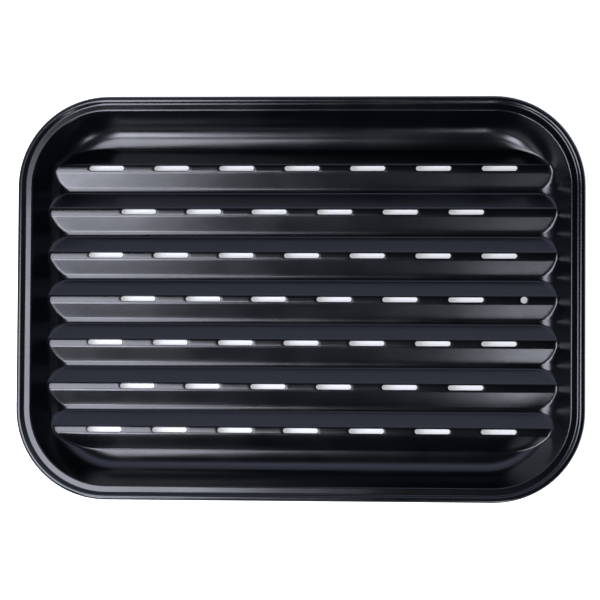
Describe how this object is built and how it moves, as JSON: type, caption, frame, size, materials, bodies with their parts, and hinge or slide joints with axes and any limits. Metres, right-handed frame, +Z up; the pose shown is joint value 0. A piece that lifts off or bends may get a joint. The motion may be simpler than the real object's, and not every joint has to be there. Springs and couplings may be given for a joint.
{
  "type": "perforated grill tray",
  "caption": "Shallow rectangular grill tray of enamelled pressed steel, with rounded corners, a curled rim and a corrugated floor slotted along its ridges.",
  "frame": {"origin": "under the middle of the floor, on the plane that the undersides of the valleys rest on", "axes": "+Z up out of the open bowl, +X along the ridges towards the end with the round hole, +Y across the ridges"},
  "size_m": [0.343, 0.244, 0.0258],
  "materials": {
    "black_enamel": "black vitreous enamel, semi-gloss, fired on pressed steel sheet"
  },
  "bodies": {
    "root": {"grill_tray": "black_enamel"}
  },
  "joints": []
}
